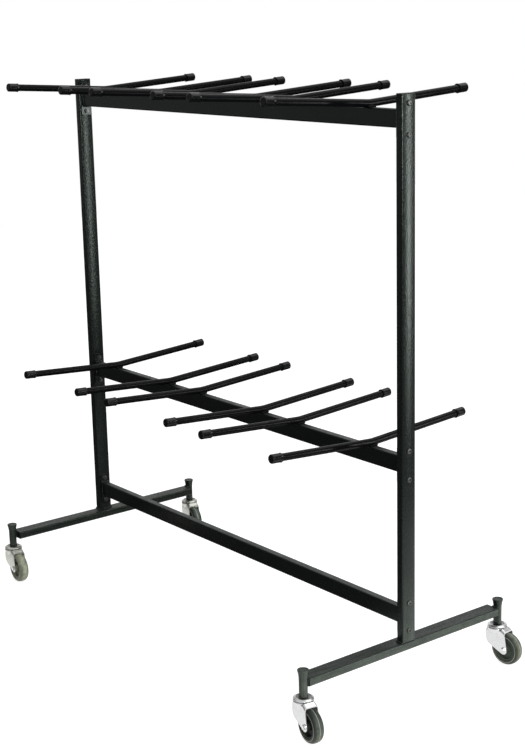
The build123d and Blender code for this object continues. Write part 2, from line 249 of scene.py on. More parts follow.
# %% Soft boxes
def soft_box(name, place, aim, size, power):
    """A rectangular lamp at place that faces aim. Cameras don't see it, so no view has it in the way."""
    data = bpy.data.lights.new(name, "AREA")
    data.shape = "RECTANGLE"
    data.size, data.size_y = size
    data.energy = power
    lamp = bpy.data.objects.new(name, data)
    lamp.visible_camera = False
    bpy.context.scene.collection.objects.link(lamp)
    away = unit(np.subtract(place, aim))
    side = unit(np.cross(straight_up, away))
    lamp.matrix_world = placed(side, np.cross(away, side), away, place)


soft_box("tall_box", place=(3.08, 2.14, 1.2), aim=(0.83, 0.0, 1.2), size=(0.36, 1.5), power=20.0)
soft_box("knee_box", place=(3.12, 2.1, 0.22), aim=(0.83, 0.0, 0.22), size=(0.36, 0.4), power=2.1)
soft_box("near_box", place=(4.0, -1.7, 1.48), aim=(0.83, 0.0, 1.45), size=(1.6, 0.36), power=56.0)
soft_box("main_box", place=(4.2, 1.0, 3.4), aim=(0.0, 0.0, 0.7), size=(2.0, 1.6), power=40.0)
soft_box("high_box", place=(0.8, 2.2, 5.0), aim=(0.0, 0.0, 0.9), size=(4.0, 3.2), power=42.0)
print("five soft boxes")

# %% [markdown]
# ## Surfaces from numpy
# Every new piece is a grid of points: two parameters run over the grid, and the whole array is
# worked out at once. A grid may close on itself along either parameter, and a row that shrinks to
# one point is a pole. Doubles are merged afterwards and the faces are turned outwards.

# %% Mesh helpers
merge_distance = 1e-7


def quads(rows, columns, wrap_rows):
    """Corner numbers of the four-sided faces between neighbouring points of a grid. The columns close
    on themselves, and the rows too where wrap_rows says so."""
    i = np.arange(rows if wrap_rows else rows - 1)[:, None]
    j = np.arange(columns)[None, :]
    below, beside = (i + 1) % rows, (j + 1) % columns
    faces = [i * columns + j, i * columns + beside, below * columns + beside, below * columns + j]
    return np.stack(np.broadcast_arrays(*faces), -1).reshape(-1, 4)


def piece(name, grids, body, material, wrap_rows=False, marks=None):
    """Join grids of points (rows, columns, 3) into one piece of the object that rides on a body. marks
    are values at the points, which a material can read by their names."""
    points, faces, count = [], [], 0
    for grid in grids:
        rows, columns = grid.shape[:2]
        points.append(grid.reshape(-1, 3))
        faces.append(quads(rows, columns, wrap_rows) + count)
        count += rows * columns
    mesh = bpy.data.meshes.new(name)
    mesh.from_pydata(np.concatenate(points).tolist(), [], np.concatenate(faces).tolist())
    for label, values in (marks or {}).items():
        attribute = mesh.attributes.new(label, "FLOAT", "POINT")
        attribute.data.foreach_set("value", values.astype(np.float32).ravel())
    work = bmesh.new()
    work.from_mesh(mesh)
    bmesh.ops.remove_doubles(work, verts=work.verts, dist=merge_distance)
    bmesh.ops.recalc_face_normals(work, faces=work.faces)
    work.to_mesh(mesh)
    work.free()
    mesh.polygons.foreach_set("use_smooth", np.ones(len(mesh.polygons), bool))
    mesh.materials.append(material)
    made = bpy.data.objects.new(name, mesh)
    bpy.context.scene.collection.objects.link(made)
    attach(made, body)
    print(name, len(mesh.polygons), "faces on", body)
    return made


print("mesh helpers ready")

# %% [markdown]
# ## Effects that several finishes share
# Five small node groups follow: the pebbled skin of a textured enamel, a thin film of floor dust that leaves
# inward faces dark as painted shade, rubbed edges, painted shade in hollows, and the uneven gloss that
# handling leaves. Each could be copied into every material, but a group is built once, and each finish gives
# it its own values.
# A group puts out a mask or a height, and the finish decides what to do with it.


# %% Group helpers
def effect(name, inputs, outputs):
    """An empty node group with named number sockets; inputs give their starting values."""
    tree = bpy.data.node_groups.new(name, "ShaderNodeTree")
    for label, value in inputs.items():
        socket = tree.interface.new_socket(label, in_out="INPUT", socket_type="NodeSocketFloat")
        socket.default_value = value
    for label in outputs:
        tree.interface.new_socket(label, in_out="OUTPUT", socket_type="NodeSocketFloat")
    given = tree.nodes.new("NodeGroupInput").outputs
    result = tree.nodes.new("NodeGroupOutput").inputs
    place = node(tree, "TexCoord").outputs["Object"]
    return tree, given, result, place


def noise(tree, place, scale, detail, roughness=0.5):
    """A cloudy number round one half; a larger scale makes smaller clouds."""
    inputs = {"Vector": place, "Scale": scale, "Detail": detail, "Roughness": roughness}
    return node(tree, "TexNoise", inputs).outputs["Fac"]


print("group helpers ready")

# %% [markdown]
# ### Pebbled skin
# Hammered enamel pulls itself into rounded pebbles as it dries. Cells with soft borders, turned
# upside down, give the pebbles, and finer noise on top of them keeps any two from being alike.

# %% Pebbled skin
pebble_drop, finer_by = -0.9, 1.7
pebble, given, result, place = effect("pebbled_skin", {"Scale": 260.0, "Depth": 1.0}, ["Height", "Speckle"])
cells = node(pebble, "TexVoronoi", {"Vector": place, "Scale": given["Scale"], "Smoothness": 0.6},
             feature="SMOOTH_F1").outputs["Distance"]
grit = noise(pebble, place, times(pebble, given["Scale"], finer_by), 2.0, 0.6)
bumps = calc(pebble, "ADD", times(pebble, cells, pebble_drop), grit)
pebble.links.new(times(pebble, bumps, given["Depth"]), result["Height"])
pebble.links.new(fade(pebble, bumps, 0.0, 0.34), result["Speckle"])
print("pebbled skin ready")

# %% [markdown]
# ### Floor dust and inward shade
# The dust fades with height and lies on the outward faces of both ends and on ledges. Faces that look
# inwards get less of it and stay dark, which is painted shade. Reach is the height where the dust ends,
# Ledge its share on faces that look up, and Around its least share on faces that look inwards.

# %% Floor dust and inward shade
dust_and_inward_shade, given, result, place = effect("floor_dust_and_inward_shade", {"Reach": 0.5, "Ledge": 0.3, "Around": 0.1}, ["Mask"])
spot = split(dust_and_inward_shade, place)
facing = split(dust_and_inward_shade, node(dust_and_inward_shade, "NewGeometry").outputs["Normal"])
climb = fade(dust_and_inward_shade, calc(dust_and_inward_shade, "DIVIDE", spot["Z"], given["Reach"]), 0.0, 1.0)
# painted shade: faces that look inwards keep little dust and stay dark
outward_unshaded = fade(dust_and_inward_shade, times(dust_and_inward_shade, facing["X"], spot["X"]), 0.1, 0.6, given["Around"], 1.0)
ledge = times(dust_and_inward_shade, fade(dust_and_inward_shade, facing["Z"], 0.6, 1.0), given["Ledge"])
dust_and_shade_film = times(dust_and_inward_shade, calc(dust_and_inward_shade, "SUBTRACT", 1.0, climb), outward_unshaded)
dust_and_shade_film = calc(dust_and_inward_shade, "ADD", dust_and_shade_film, ledge)
cloud = noise(dust_and_inward_shade, place, 26.0, 5.0, 0.65)
dust_and_shade_film = times(dust_and_inward_shade, dust_and_shade_film, fade(dust_and_inward_shade, cloud, 0.3, 0.75, 0.55, 1.0))
dust_and_inward_shade.links.new(calc(dust_and_inward_shade, "MINIMUM", dust_and_shade_film, 1.0), result["Mask"])
print("floor dust ready")

# %% [markdown]
# ### Rubbed edges
# Where an edge bends, a bevelled normal turns away from the true one. Their dot product falls below
# one there, which marks the edge, and noise breaks the mark into patches.

# %% Rubbed edges
rub, given, result, place = effect("rubbed_edge", {"Width": 0.0015, "Breaks": 90.0}, ["Mask"])
rounded = node(rub, "Bevel", {"Radius": given["Width"]}, samples=6).outputs[0]
bend = fade(rub, along(rub, rounded, node(rub, "NewGeometry").outputs["Normal"]), 0.99, 0.84)
patch = fade(rub, noise(rub, place, given["Breaks"], 4.0, 0.7), 0.42, 0.62)
rub.links.new(times(rub, bend, patch), result["Mask"])
print("rubbed edges ready")

# %% [markdown]
# ### Painted shade in hollows
# Shade is painted where little of the sky is open: hollows and the corners between parts are darkened as if
# shaded. Reach is how far the hollow is felt for, and Full is the share of open sky at which it is black.

# %% Painted shade in hollows
hollow_shade, given, result, place = effect("painted_hollow_shade", {"Reach": 0.006, "Full": 0.3}, ["Mask"])
open_sky = node(hollow_shade, "AmbientOcclusion", {"Distance": given["Reach"]}, samples=8).outputs["AO"]
patch = fade(hollow_shade, noise(hollow_shade, place, 240.0, 4.0, 0.7), 0.25, 0.5, 0.6, 1.0)
hollow = fade(hollow_shade, open_sky, 0.62, given["Full"])
hollow_shade.links.new(times(hollow_shade, hollow, patch), result["Mask"])
print("caked grime ready")

# %% [markdown]
# ### Handled gloss
# Hands and cloths leave a surface shinier in one place than in the next. Low and High are the ends
# of the roughness, and Scale says how small the smears are.

# %% Handled gloss
handling, given, result, place = effect("handled_gloss", {"Scale": 14.0, "Low": 0.3, "High": 0.5},
                                        ["Roughness"])
smear = noise(handling, place, given["Scale"], 6.0, 0.7)
change = node(handling, "MapRange", {"Value": smear, "From Min": 0.3, "From Max": 0.7,
                                     "To Min": given["Low"], "To Max": given["High"]})
handling.links.new(change.outputs["Result"], result["Roughness"])
print("handled gloss ready")

# %% [markdown]
# ## Starting a finish
# Every finish is one Principled shader. What varies over the surface is linked to it, and what is
# the same everywhere is set on the shader's own sockets, where an export can read it.


# %% Finish helpers
def finish_of(name):
    """A new material with one Principled shader on its output, and the place of a point on the object."""
    made = bpy.data.materials.new(name)
    made.use_nodes = True
    tree = made.node_tree
    tree.nodes.clear()
    skin = node(tree, "BsdfPrincipled")
    node(tree, "OutputMaterial", {"Surface": skin.outputs[0]})
    return made, tree, skin, node(tree, "TexCoord").outputs["Object"]


def wire(tree, skin, colour, roughness, normal, **fixed):
    """Link colour, roughness and normal to the shader, and set its plain values on its own sockets."""
    for label, socket in (("Base Color", colour), ("Roughness", roughness), ("Normal", normal)):
        tree.links.new(socket, skin.inputs[label])
    for label, value in fixed.items():
        skin.inputs[label.replace("_", " ")].default_value = value


def use(tree, group, **values):
    """Place a shared effect in a material with its own values."""
    return node(tree, "Group", values, node_tree=group).outputs


def relief(tree, height, distance):
    """A Bump node that turns a height, times a distance in metres, into a normal."""
    return node(tree, "Bump", {"Height": height, "Distance": distance}).outputs["Normal"]


def tint(tree, share, first, second):
    """A colour between two others; share 0 gives the first, 1 the second."""
    mix = node(tree, "Mix", {0: share}, data_type="RGBA")
    for socket, colour in ((mix.inputs[6], first), (mix.inputs[7], second)):
        if isinstance(colour, bpy.types.NodeSocket):
            tree.links.new(colour, socket)
        else:
            socket.default_value = (*colour, 1.0)
    return mix.outputs[2]


def streaks(tree, place, fineness, detail, roughness):
    """Noise drawn out into lines; fineness says how fine it is along X, Y and Z."""
    drawn = node(tree, "Mapping", {"Vector": place, "Scale": fineness}).outputs["Vector"]
    return noise(tree, drawn, 1.0, detail, roughness)


finishes = {}
print("finish helpers ready")

# %% [markdown]
# ## Textured enamel on posts, feet and sockets
# These tubes carry a black hammered enamel with a green cast: glossy on the pebbles, duller in the dimples
# and on ledges. Close to the floor a film of dust turns it greenish grey and dulls it, but the corners, and
# the side of a socket that looks back to the middle of the trolley, keep no dust and stay dark: that is
# painted shade. Hollows and weld corners are darkened with painted shade as well.
# Rolled tube is never quite flat: the broad faces of the posts swell a little, so they mirror a lamp
# as a soft strip along their middle. The swell goes into the pebbles' height.

# %% Textured enamel
half_tube = 0.0254
dimple_black, pebble_black = (0.0064, 0.0081, 0.0071), (0.0105, 0.0132, 0.0115)
dust_green, hollow_shade_black = (0.139, 0.163, 0.137), (0.004, 0.0042, 0.004)
dimple_dull, dust_dull, ledge_dull = 0.12, 0.25, 0.2


def enamel(name, square, swell, drawn, dulled, reach):
    """Black hammered enamel. On square tube, a normal between two axes marks a corner, and on round tube, a
    normal that points back to the middle of the trolley marks the inner side: both keep no dust and stay
    dark, which is painted shade. swell is how far, in metres, a face stands out along its middle line y = 0,
    drawn is how fine the lines of the tube mill are along each axis, dulled is how much rougher they are,
    and reach is the height to which floor dust clings."""
    made, tree, skin, place = finish_of(name)
    spot = split(tree, place)
    normal = node(tree, "NewGeometry").outputs["Normal"]
    facing = split(tree, node(tree, "VectorMath", {0: normal}, operation="ABSOLUTE").outputs["Vector"])
    grain = use(tree, pebble, Scale=155.0, Depth=0.00022)
    streak = fade(tree, streaks(tree, place, drawn, 3.0, 0.6), 0.42, 0.64)

    dust_and_shade_film = use(tree, dust_and_inward_shade, Reach=reach, Ledge=0.05, Around=0.1 if square else 0.4)["Mask"]
    # painted shade: corners of square tube and the inner side of a socket keep no dust and stay dark
    if square:
        widest = calc(tree, "MAXIMUM", facing["X"], calc(tree, "MAXIMUM", facing["Y"], facing["Z"]))
        outside_painted_shade = fade(tree, widest, 0.84, 0.97)
    else:
        inward = times(tree, split(tree, normal)["Y"], spot["Y"])
        outside_painted_shade = fade(tree, inward, -0.3, 0.0, 0.1, 1.15)
    dust_and_shade_film = times(tree, dust_and_shade_film, outside_painted_shade)

    gloss = use(tree, handling, Scale=9.0, Low=0.1, High=0.16)["Roughness"]
    for share in (fade(tree, grain["Speckle"], 0.15, 0.65, dimple_dull, 0.0),
                  times(tree, dust_and_shade_film, dust_dull),
                  times(tree, streak, dulled),
                  fade(tree, facing["Z"], 0.6, 0.97, 0.0, ledge_dull)):
        gloss = calc(tree, "ADD", gloss, share)

    coat = tint(tree, grain["Speckle"], dimple_black, pebble_black)
    dust_and_shade_film = times(tree, dust_and_shade_film, fade(tree, streak, 0.0, 1.0, 0.82, 0.55))
    coat = tint(tree, dust_and_shade_film, coat, dust_green)
    # painted shade darkens hollows and weld corners
    coat = tint(tree, use(tree, hollow_shade, Reach=0.007)["Mask"], coat, hollow_shade_black)

    across = calc(tree, "DIVIDE", spot["Y"], half_tube)
    dip = times(tree, times(tree, across, across), swell)
    height = calc(tree, "SUBTRACT", grain["Height"], dip)
    wire(tree, skin, coat, gloss, relief(tree, height, 1.0),
         Specular_IOR_Level=0.38, Specular_Tint=(0.85, 1.0, 0.91, 1.0))
    return made


upright_lines, crosswise_lines, no_lines = (300.0, 300.0, 9.0), (300.0, 9.0, 300.0), (90.0, 90.0, 90.0)
post_enamel = enamel("post_enamel", True, swell=0.0019, drawn=upright_lines, dulled=0.02, reach=0.45)
foot_enamel = enamel("foot_enamel", True, swell=0.0, drawn=crosswise_lines, dulled=0.16, reach=0.45)
hammertone = enamel("round_enamel", False, swell=0.0, drawn=upright_lines, dulled=0.05, reach=0.45)
weld_enamel = enamel("weld_enamel", False, swell=0.0, drawn=no_lines, dulled=0.05, reach=0.12)
finishes["hammertone"] = hammertone
print("textured enamel ready")

# %% [markdown]
# ## Satin paint on the beams
# The beams have a plain satin black paint with the faint waviness of spraying. Dust lies on their
# tops, and their edges are rubbed in places, so the dust and edge groups do most of the work.

# %% Satin paint
satin_black, pale_dust, rubbed_grey = (0.0035, 0.0038, 0.004), (0.1, 0.108, 0.1), (0.1, 0.105, 0.1)
film_dull, film_share, rub_share, spray_wave = 0.6, 0.2, 0.25, 0.0001
black_paint, tree, skin, place = finish_of("satin_paint")
dust_and_shade_film = use(tree, dust_and_inward_shade, Reach=0.6, Ledge=0.55)["Mask"]
worn = use(tree, rub, Width=0.002, Breaks=60.0)["Mask"]
gloss = use(tree, handling, Scale=8.0, Low=0.18, High=0.28)["Roughness"]
gloss = calc(tree, "ADD", gloss, times(tree, dust_and_shade_film, film_dull))
coat = tint(tree, times(tree, dust_and_shade_film, film_share), satin_black, pale_dust)
coat = tint(tree, times(tree, worn, rub_share), coat, rubbed_grey)
wire(tree, skin, coat, gloss, relief(tree, noise(tree, place, 220.0, 2.0), spray_wave),
     Specular_IOR_Level=0.58, Specular_Tint=(0.87, 1.0, 0.94, 1.0))
finishes["black_paint"] = black_paint
print("satin paint ready")

# %% [markdown]
# ## Gloss paint on the hanger bars
# The bars are smoother and blacker than the beams, and are rubbed along the top, where the load
# slides on and off. Lines drawn out along the bar, kept to faces that look up, make those scuffs.

# %% Gloss paint
gloss_black, film_grey, scuff_grey = (0.0032, 0.0034, 0.0038), (0.09, 0.095, 0.09), (0.13, 0.13, 0.13)
film_share, scuff_share, scuff_lines = 0.16, 0.5, (420.0, 16.0, 420.0)
gloss_paint, tree, skin, place = finish_of("gloss_paint")
scuffs = streaks(tree, place, scuff_lines, 4.0, 0.7)
facing_up = split(tree, node(tree, "NewGeometry").outputs["Normal"])["Z"]
slide = times(tree, fade(tree, scuffs, 0.56, 0.7), fade(tree, facing_up, 0.7, 0.98))
dust_and_shade_film = use(tree, dust_and_inward_shade, Reach=0.2, Ledge=0.35)["Mask"]
gloss = use(tree, handling, Scale=22.0, Low=0.14, High=0.28)["Roughness"]
coat = tint(tree, times(tree, dust_and_shade_film, film_share), gloss_black, film_grey)
coat = tint(tree, times(tree, slide, scuff_share), coat, scuff_grey)
wire(tree, skin, coat, gloss, relief(tree, noise(tree, place, 150.0, 1.0), spray_wave),
     Specular_IOR_Level=0.07)
finishes["gloss_black_paint"] = gloss_paint
print("gloss paint ready")

# %% [markdown]
# ## Plastic plugs and vinyl end caps
# The plugs in the post tops are moulded plastic with a fine spark-eroded grain. The caps on the
# hanger bars are dipped black vinyl: smooth and shiny, with a faint bloom. One graph serves both,
# with the colours, the two ends of the roughness and the depth of the grain in a table.

# %% Plug and cap finishes
film_share = 0.15
for slot, name, base, bloom, low, high, depth in (
    ("black_plastic", "moulded_plug", (0.006, 0.0062, 0.0066), (0.02, 0.021, 0.022), 0.42, 0.55, 0.00006),
    ("cap_rubber", "vinyl_cap", (0.003, 0.0032, 0.0034), (0.006, 0.0064, 0.0064), 0.07, 0.15, 0.000015),
):
    made, tree, skin, place = finish_of(name)
    cloud = noise(tree, place, 45.0, 5.0, 0.7)
    dust_and_shade_film = use(tree, dust_and_inward_shade, Reach=0.2, Ledge=0.3)["Mask"]
    gloss = use(tree, handling, Scale=40.0, Low=low, High=high)["Roughness"]
    coat = tint(tree, fade(tree, cloud, 0.4, 0.75), base, bloom)
    coat = tint(tree, times(tree, dust_and_shade_film, film_share), coat, film_grey)
    wire(tree, skin, coat, gloss, relief(tree, noise(tree, place, 900.0, 2.0), depth),
         Specular_IOR_Level=0.3)
    finishes[slot] = made
print("plug and cap finishes ready")

# %% [markdown]
# ## Zinc, fasteners and bearing steel
# The casters are pressed from sheet and plated with bright zinc: nearly white, with a soft broad reflection,
# faint rolling lines and a little dull haze. The haze scatters, so the plate isn't all metal. The rear pair
# is older, and its zinc has gone grey and yellowish. The bolts are blackened steel, and the ball races are
# plain greased steel. The dish of a raceway cap is spotted with old grease, which is marked on the mesh, and
# painted shade darkens the hollows in the same dark colour, most of all the socket of a bolt head.


# %% Metals
def mark(tree, label):
    """A value marked on the mesh itself; it is 0 on a mesh without that mark."""
    return node(tree, "Attribute", attribute_name=label).outputs["Fac"]


metal_share, film_share, grease_and_shade_share = 0.85, 0.12, 0.93
road_dust, grease_and_shade_black = (0.3, 0.29, 0.26), (0.03, 0.03, 0.027)
rolling_lines = (900.0, 900.0, 60.0)
for slot, name, bright, dull, low, high, depth, full in (
    ("zinc_steel", "zinc_plate", (0.84, 0.845, 0.845), (0.78, 0.785, 0.78), 0.2, 0.3, 0.00002, 0.3),
    ("aged_zinc", "aged_zinc_plate", (0.68, 0.69, 0.63), (0.56, 0.57, 0.51), 0.26, 0.38, 0.00003, 0.3),
    ("fasteners", "blackened_bolt", (0.14, 0.147, 0.142), (0.08, 0.084, 0.08), 0.24, 0.36, 0.00005, 0.52),
    ("race_steel", "greased_race", (0.05, 0.047, 0.042), (0.018, 0.017, 0.015), 0.3, 0.5, 0.00004, 0.3),
):
    made, tree, skin, place = finish_of(name)
    lines = streaks(tree, place, rolling_lines, 3.0, 0.6)
    haze = noise(tree, place, 60.0, 6.0, 0.7)
    dust_and_shade_film = use(tree, dust_and_inward_shade, Reach=0.12, Ledge=0.2)["Mask"]
    gloss = use(tree, handling, Scale=50.0, Low=low, High=high)["Roughness"]
    plate = tint(tree, fade(tree, haze, 0.42, 0.72), bright, dull)
    plate = tint(tree, times(tree, dust_and_shade_film, film_share), plate, road_dust)
    spots = fade(tree, noise(tree, place, 300.0, 3.0, 0.65), 0.44, 0.6, 1.0, 0.5)
    grease = times(tree, mark(tree, "grease"), spots)
    # painted shade in hollows is added to the grease spots, in the same dark colour
    grease = calc(tree, "MAXIMUM", grease, use(tree, hollow_shade, Reach=0.005, Full=full)["Mask"])
    plate = tint(tree, times(tree, grease, grease_and_shade_share), plate, grease_and_shade_black)
    wire(tree, skin, plate, gloss, relief(tree, lines, depth), Metallic=metal_share)
    finishes[slot] = made
print("metals ready")

# %% [markdown]
# ## Wheel cores
# The cores are dark moulded plastic. One of them is dusty and one faded, and these paler copies stand in
# part for the light on those two wheels. Painted shade darkens the corner between core and tyre, so the
# hollow looks shaded also in flat light.

# %% Wheel cores
core_dust, core_shade_black = (0.14, 0.146, 0.12), (0.006, 0.0062, 0.0055)
film_share, core_grain = 0.3, 0.00006
for slot, name, base in (
    ("wheel_plastic", "wheel_core_plastic", (0.012, 0.0135, 0.0115)),
    # the dusty and faded cores are paler copies that stand partly for the light on those wheels
    ("dusty_and_lit_core", "dusty_and_lit_core_plastic", (0.078, 0.098, 0.076)),
    ("faded_and_lit_core", "faded_and_lit_core_plastic", (0.23, 0.235, 0.18)),
):
    made, tree, skin, place = finish_of(name)
    dust_and_shade_film = use(tree, dust_and_inward_shade, Reach=0.11, Ledge=0.3)["Mask"]
    gloss = use(tree, handling, Scale=60.0, Low=0.38, High=0.6)["Roughness"]
    coat = tint(tree, times(tree, dust_and_shade_film, film_share), base, core_dust)
    # painted shade darkens the corner between core and tyre
    coat = tint(tree, use(tree, hollow_shade, Reach=0.012)["Mask"], coat, core_shade_black)
    wire(tree, skin, coat, gloss, relief(tree, noise(tree, place, 700.0, 2.0), core_grain),
         Specular_IOR_Level=0.2)
    finishes[slot] = made
print("wheel cores ready")

# %% [markdown]
# ## Tyre rubber
# The tyres are olive-grey rubber: the crown is scuffed paler, the flash line and the ribs carry a painted
# highlight, palest of all, and the sidewalls stay dark unless the whole tyre has faded. These places are
# marked on the mesh itself with values round the section, so the scuffs and the painted highlight follow the
# wheel as it turns.

# %% Tyre rubber
rubber_black, ridge_highlight_colour = (0.0115, 0.0165, 0.013), (0.6, 0.61, 0.55)
fresh_scuff, olive_scuff = (0.43, 0.51, 0.43), (0.43, 0.46, 0.32)
faded_share, rubber_grain = 0.65, 0.0003
tyre_rubber, tree, skin, place = finish_of("tyre_rubber")
# the wear mark also carries painted light and shade: paler on lit wheels, darker towards a tyre's top
wear_and_light = mark(tree, "wear_and_light")
cloud = noise(tree, place, 70.0, 6.0, 0.72)
grit = noise(tree, place, 520.0, 4.0, 0.7)
rolled = fade(tree, mark(tree, "across"), 0.9, 0.3, 0.15, 1.0)
rolled = calc(tree, "MAXIMUM", rolled, times(tree, wear_and_light, faded_share))
dirt_and_light = times(tree, fade(tree, cloud, 0.3, 0.68, 0.35, 1.0), times(tree, rolled, wear_and_light))
scuff = tint(tree, fade(tree, wear_and_light, 0.2, 0.42), fresh_scuff, olive_scuff)
coat = tint(tree, dirt_and_light, rubber_black, scuff)
# painted highlight along the flash line and the ribs
ridge_highlight = times(tree, mark(tree, "ridge"), fade(tree, grit, 0.25, 0.6, 0.5, 0.95))
coat = tint(tree, ridge_highlight, coat, ridge_highlight_colour)
gloss = fade(tree, cloud, 0.3, 0.7, 0.34, 0.55)
wire(tree, skin, coat, gloss, relief(tree, grit, rubber_grain), Specular_IOR_Level=0.34)
finishes["tyre"] = tyre_rubber
print("tyre rubber ready")

# %% [markdown]
# ## Finish on the solids
# The record says which finish each solid has. Assigning to the object's own material slot keeps
# the solid as it is. The rear casters are the older pair, so their zinc is the duller one.

# %% Assign finishes
ends = {"front": 1, "rear": -1}
for solid in nodes.values():
    solid.material_slots[0].material = finishes[solid.material_slots[0].material.name]
for end in ends:
    nodes[f"upright_{end}"].material_slots[0].material = post_enamel
    nodes[f"foot_{end}"].material_slots[0].material = foot_enamel
for corner in ("rear_right", "rear_left"):
    nodes[f"fork_{corner}"].material_slots[0].material = finishes["aged_zinc"]
# paler cores for the two wheels that stand in more light: partly dust and fading, partly painted light
nodes["wheel_core_front_left"].material_slots[0].material = finishes["dusty_and_lit_core"]
nodes["wheel_core_rear_right"].material_slots[0].material = finishes["faded_and_lit_core"]
print("finished", len(nodes), "solids")

# %% [markdown]
# ## Weld beads
# A weld bead is a row of small frozen ripples laid along a joint. It could be a plain tube with a
# bump texture, but the ripples also show in outline, so the bead is a tube whose radius changes:
# each ripple is a crescent, because the molten pool trails behind at the sides. The path is a line
# or a closed loop of points, and the ring at each point stands square to it.

# %% Bead helpers
mm = 0.001
ring_points = 14
ripple_share, ripple_trail, sway_share = 0.16, 0.35, 0.05
bead_taper = 4.0 * mm


def bead(path, out, radius, pitch, seed, closed=False):
    """Weld bead: a ring of the given radius carried along path, with out as its outward direction. The
    radius swells by about a sixth in a row of crescents, one per pitch, sways a little in three slow
    waves, and shrinks to a point, along a quarter circle, at the ends of an open path."""
    path, out = np.asarray(path, float), unit(out)
    run = unit(np.roll(path, -1, 0) - np.roll(path, 1, 0) if closed else np.gradient(path, axis=0))
    across = unit(np.cross(run, out))
    out = np.cross(across, run)
    steps = np.linalg.norm(np.diff(path, axis=0), axis=1)
    gone = np.concatenate([[0.0], np.cumsum(steps)])
    angle = np.linspace(0.0, 2 * np.pi, ring_points, endpoint=False)
    phase = gone[:, None] / pitch + ripple_trail * np.cos(angle)[None, :]
    ripple = ripple_share * np.abs(np.sin(np.pi * phase))
    wander = np.random.default_rng(seed).normal(0.0, 1.0, 6)
    turns = gone[:, None] / gone[-1] * 2 * np.pi
    waves = [wander[i] * np.sin((i + 1) * turns + wander[i + 3]) for i in range(3)]
    size = radius * (1.0 + ripple + sway_share * sum(waves))
    if not closed:
        inside = np.clip(np.minimum(gone, gone[-1] - gone) / bead_taper, 0.0, 1.0)
        size = size * np.sqrt(1.0 - (1.0 - inside) ** 2)[:, None]
    cosine, sine = np.cos(angle)[None, :, None], np.sin(angle)[None, :, None]
    return path[:, None, :] + size[..., None] * (cosine * out[:, None, :] + sine * across[:, None, :])


def box_loop(half_u, half_v, radius, count):
    """Points and outward normals of a rectangle with rounded corners, evenly spaced round it: the
    straight sides and quarter circles are laid end to end and read off at equal steps."""
    flat_u, flat_v, arc = half_u - radius, half_v - radius, np.pi / 2 * radius
    lengths = np.array([2 * flat_v, arc, 2 * flat_u, arc, 2 * flat_v, arc, 2 * flat_u, arc])
    starts = np.concatenate([[0.0], np.cumsum(lengths)])
    s = np.linspace(0.0, starts[-1], count, endpoint=False)
    part = np.searchsorted(starts, s, side="right") - 1
    t = (s - starts[part]) / lengths[part]
    side, corner = part // 2, part % 2
    angle = side * np.pi / 2 + corner * t * np.pi / 2
    slide = (1 - corner) * (1 - t)
    hub_u = np.array([1, -1, -1, 1])[side] * flat_u + slide * np.array([0, 2, 0, -2])[side] * flat_u
    hub_v = np.array([1, 1, -1, -1])[side] * flat_v + slide * np.array([-2, 0, 2, 0])[side] * flat_v
    normal = np.column_stack([np.cos(angle), np.sin(angle)])
    return np.column_stack([hub_u, hub_v]) + radius * normal, normal


print("bead helpers ready")

# %% [markdown]
# ## Welds under the hanger bars
# Each bar lies across its beam and is welded along both sides. The bead sits in the wedge between
# the round bar and the flat top of the beam, and its ends run over the rounded edges of the tube.


# %% Hanger welds
def centre_of(name):
    """Middle of the box of a solid."""
    low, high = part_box(name)
    return (np.array(low) + np.array(high)) / 2


tube_corner = 4.0 * mm
hanger_bead, hanger_pitch = 3.7 * mm, 2.9 * mm
beside_bar, above_beam, overrun = 9.6 * mm, 2.0 * mm, 0.8 * mm
edge_follow, bead_points, lean_out, lean_up = 0.6, 44, 0.75, 0.66
for tier, beam in (("upper", "top_beam"), ("lower", "middle_beam")):
    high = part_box(beam)[1]
    y = np.linspace(-high.y - overrun, high.y + overrun, bead_points)
    over = np.clip(np.abs(y) - (high.y - tube_corner), 0.0, tube_corner)
    drop = tube_corner - np.sqrt(tube_corner ** 2 - over ** 2)
    z = high.z + above_beam - edge_follow * drop
    beads = []
    for number in range(1, 7):
        bar = centre_of(f"{tier}_hanger_{number}")[0]
        for side in (-1, 1):
            line = np.column_stack([np.full_like(y, bar + side * beside_bar), y, z])
            lean = np.broadcast_to([lean_out * side, 0.0, lean_up], line.shape)
            beads.append(bead(line, lean, hanger_bead, hanger_pitch, seed=10 * number + side))
    piece(f"{tier}_hanger_welds", beads, "frame", gloss_paint)

# %% [markdown]
# ## Welds round the beam ends
# A beam is welded all round to its end plate. The loop of the tube's outline, a little outside it,
# is the path of the bead, and the bead leans out from the corner between tube and plate.

# %% Beam welds
beam_bead, beam_pitch = 2.7 * mm, 2.6 * mm
off_tube, off_plate, loop_points, lean_in = 0.7 * mm, 0.8 * mm, 260, 0.7
for name in ("top_beam", "middle_beam", "bottom_stretcher"):
    low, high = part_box(name)
    loop, normal = box_loop(high.y + off_tube, (high.z - low.z) / 2 + off_tube, tube_corner, loop_points)
    z = centre_of(name)[2] + loop[:, 1]
    beads = []
    for end_x in (low.x, high.x):
        inward = -np.sign(end_x)
        line = np.column_stack([np.full(loop_points, end_x + inward * off_plate), loop[:, 0], z])
        lean = np.column_stack([np.full(loop_points, lean_in * inward), normal])
        beads.append(bead(line, lean, beam_bead, beam_pitch, seed=31, closed=True))
    piece(f"{name}_welds", beads, "frame", black_paint, wrap_rows=True)

# %% [markdown]
# ## Welds round the posts
# A post stands on its foot: three sides have a proud bead, and on the outer side, where post and
# foot are flush, the bead sinks and fills the groove that the rounded edge of the foot leaves.

